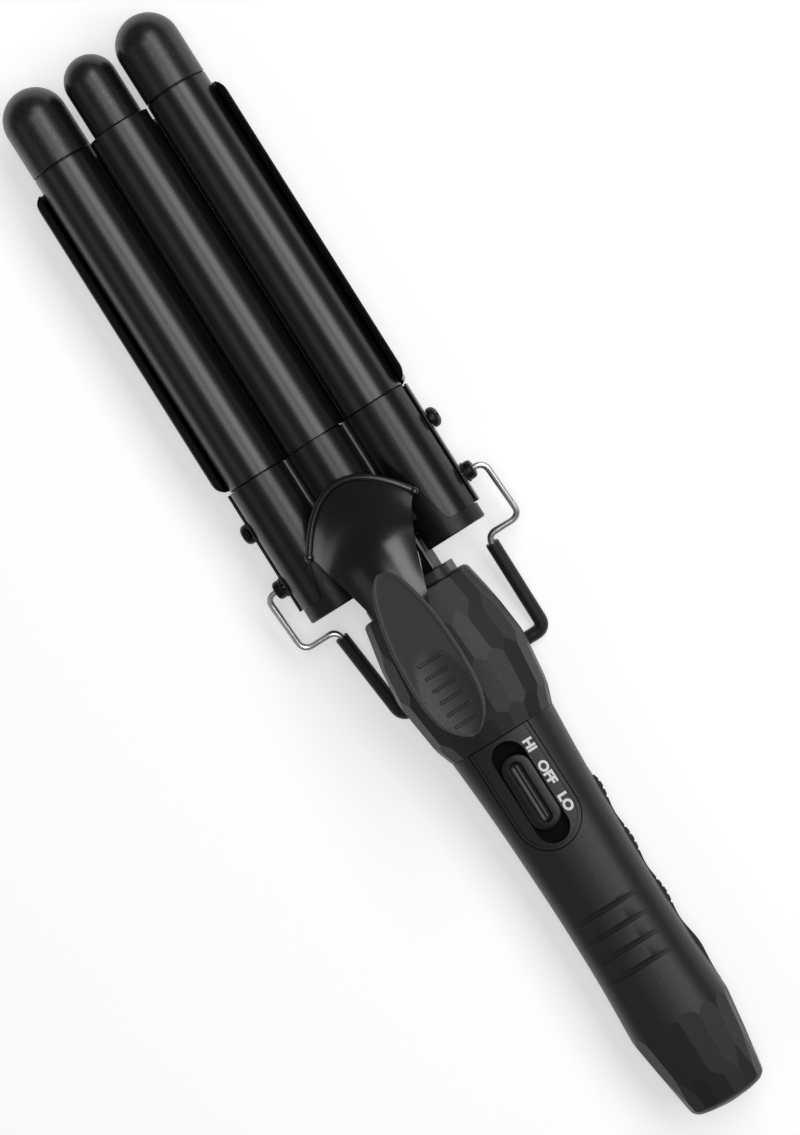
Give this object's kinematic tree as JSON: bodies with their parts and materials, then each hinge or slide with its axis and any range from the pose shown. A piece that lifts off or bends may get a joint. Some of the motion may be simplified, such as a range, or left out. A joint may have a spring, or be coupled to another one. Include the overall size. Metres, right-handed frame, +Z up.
{
  "type": "hair waver",
  "caption": "Handheld hair waver: a handle with a slide switch, a sprung jaw of outer barrels worked by a thumb lever, a fixed jaw with the middle barrel, and a folding wire stand.",
  "frame": {"origin": "on the surface that the waver lies on, under the middle of the whole", "axes": "+X along the barrels towards their tips, +Z up out of the lever side"},
  "size_m": [0.3454, 0.0754, 0.053],
  "materials": {
    "handle_plastic": "fine matt moulded charcoal",
    "grip_rubber": "matt, ribbed",
    "cover_plastic": "half gloss black",
    "inner_plastic": "plain moulded dark grey",
    "coated_barrel": "satin ceramic coating on aluminium",
    "lever_metal": "gloss black enamel on pressed steel",
    "slider_plastic": "polished black",
    "screw_steel": "black zinc",
    "bright_wire": "bright plated wire",
    "sheet_steel": "bare sheet edge",
    "sleeve_rubber": "matt heat-proof sleeve",
    "carrier_aluminium": "extruded",
    "heater_ceramic": "unglazed",
    "board_laminate": "solder masked board",
    "lead_silicone": "silicone covered"
  },
  "bodies": {
    "root": {"barrel_middle": "coated_barrel", "bracket_screw_left": "screw_steel", "bracket_screw_right": "screw_steel", "control_board": "board_laminate", "cord_bush": "grip_rubber", "finger_grip": "grip_rubber", "front_collar": "handle_plastic", "handle_front_shell": "handle_plastic", "handle_rear_shell": "handle_plastic", "handle_screw_front": "screw_steel", "handle_screw_middle": "screw_steel", "handle_screw_rear": "screw_steel", "heater_carrier_middle_front": "carrier_aluminium", "heater_carrier_middle_rear": "carrier_aluminium", "heater_middle": "heater_ceramic", "jaw_spring": "sheet_steel", "lead_live": "lead_silicone", "lead_neutral": "lead_silicone", "neck_bracket": "sheet_steel", "pivot_pin": "sheet_steel", "rear_cover": "cover_plastic", "rear_frame": "inner_plastic", "side_screw_left": "screw_steel", "side_screw_right": "screw_steel", "stand_bush_left": "screw_steel", "stand_bush_right": "screw_steel", "switch_body": "inner_plastic", "switch_plate": "cover_plastic", "tip_middle": "coated_barrel", "wing_left": "coated_barrel", "wing_right": "coated_barrel"},
    "jaw": {"arch_plate": "coated_barrel", "arm_screw_left": "screw_steel", "arm_screw_right": "screw_steel", "barrel_left": "coated_barrel", "barrel_right": "coated_barrel", "front_base": "inner_plastic", "front_cover": "cover_plastic", "heater_carrier_left_front": "carrier_aluminium", "heater_carrier_left_rear": "carrier_aluminium", "heater_carrier_right_front": "carrier_aluminium", "heater_carrier_right_rear": "carrier_aluminium", "heater_left": "heater_ceramic", "heater_right": "heater_ceramic", "lead_left": "lead_silicone", "lead_right": "lead_silicone", "lever_arm": "lever_metal", "lever_pad": "handle_plastic", "lever_screw_front": "screw_steel", "lever_screw_rear": "screw_steel", "tip_left": "coated_barrel", "tip_right": "coated_barrel"},
    "stand": {"stand_sleeve": "sleeve_rubber", "stand_wire": "bright_wire"},
    "slider": {"switch_slider": "slider_plastic"}
  },
  "joints": [
    {"name": "jaw_hinge", "type": "hinge", "parent": "root", "child": "jaw", "pos_m": [0.00825, 0, 0.015], "axis": [0, -1, 0], "range_deg": [0, 20], "stiffness_Nm_per_rad": 0.9, "springref_deg": -22.92, "deforming": ["jaw_spring"]},
    {"name": "stand_hinge", "type": "hinge", "parent": "root", "child": "stand", "pos_m": [0.01545, 0, 0.0158], "axis": [0, -1, 0], "range_deg": [0, 90]},
    {"name": "switch_slide", "type": "slide", "parent": "root", "child": "slider", "axis": [1, 0, 0], "range_m": [-0.0042, 0.0042]}
  ]
}
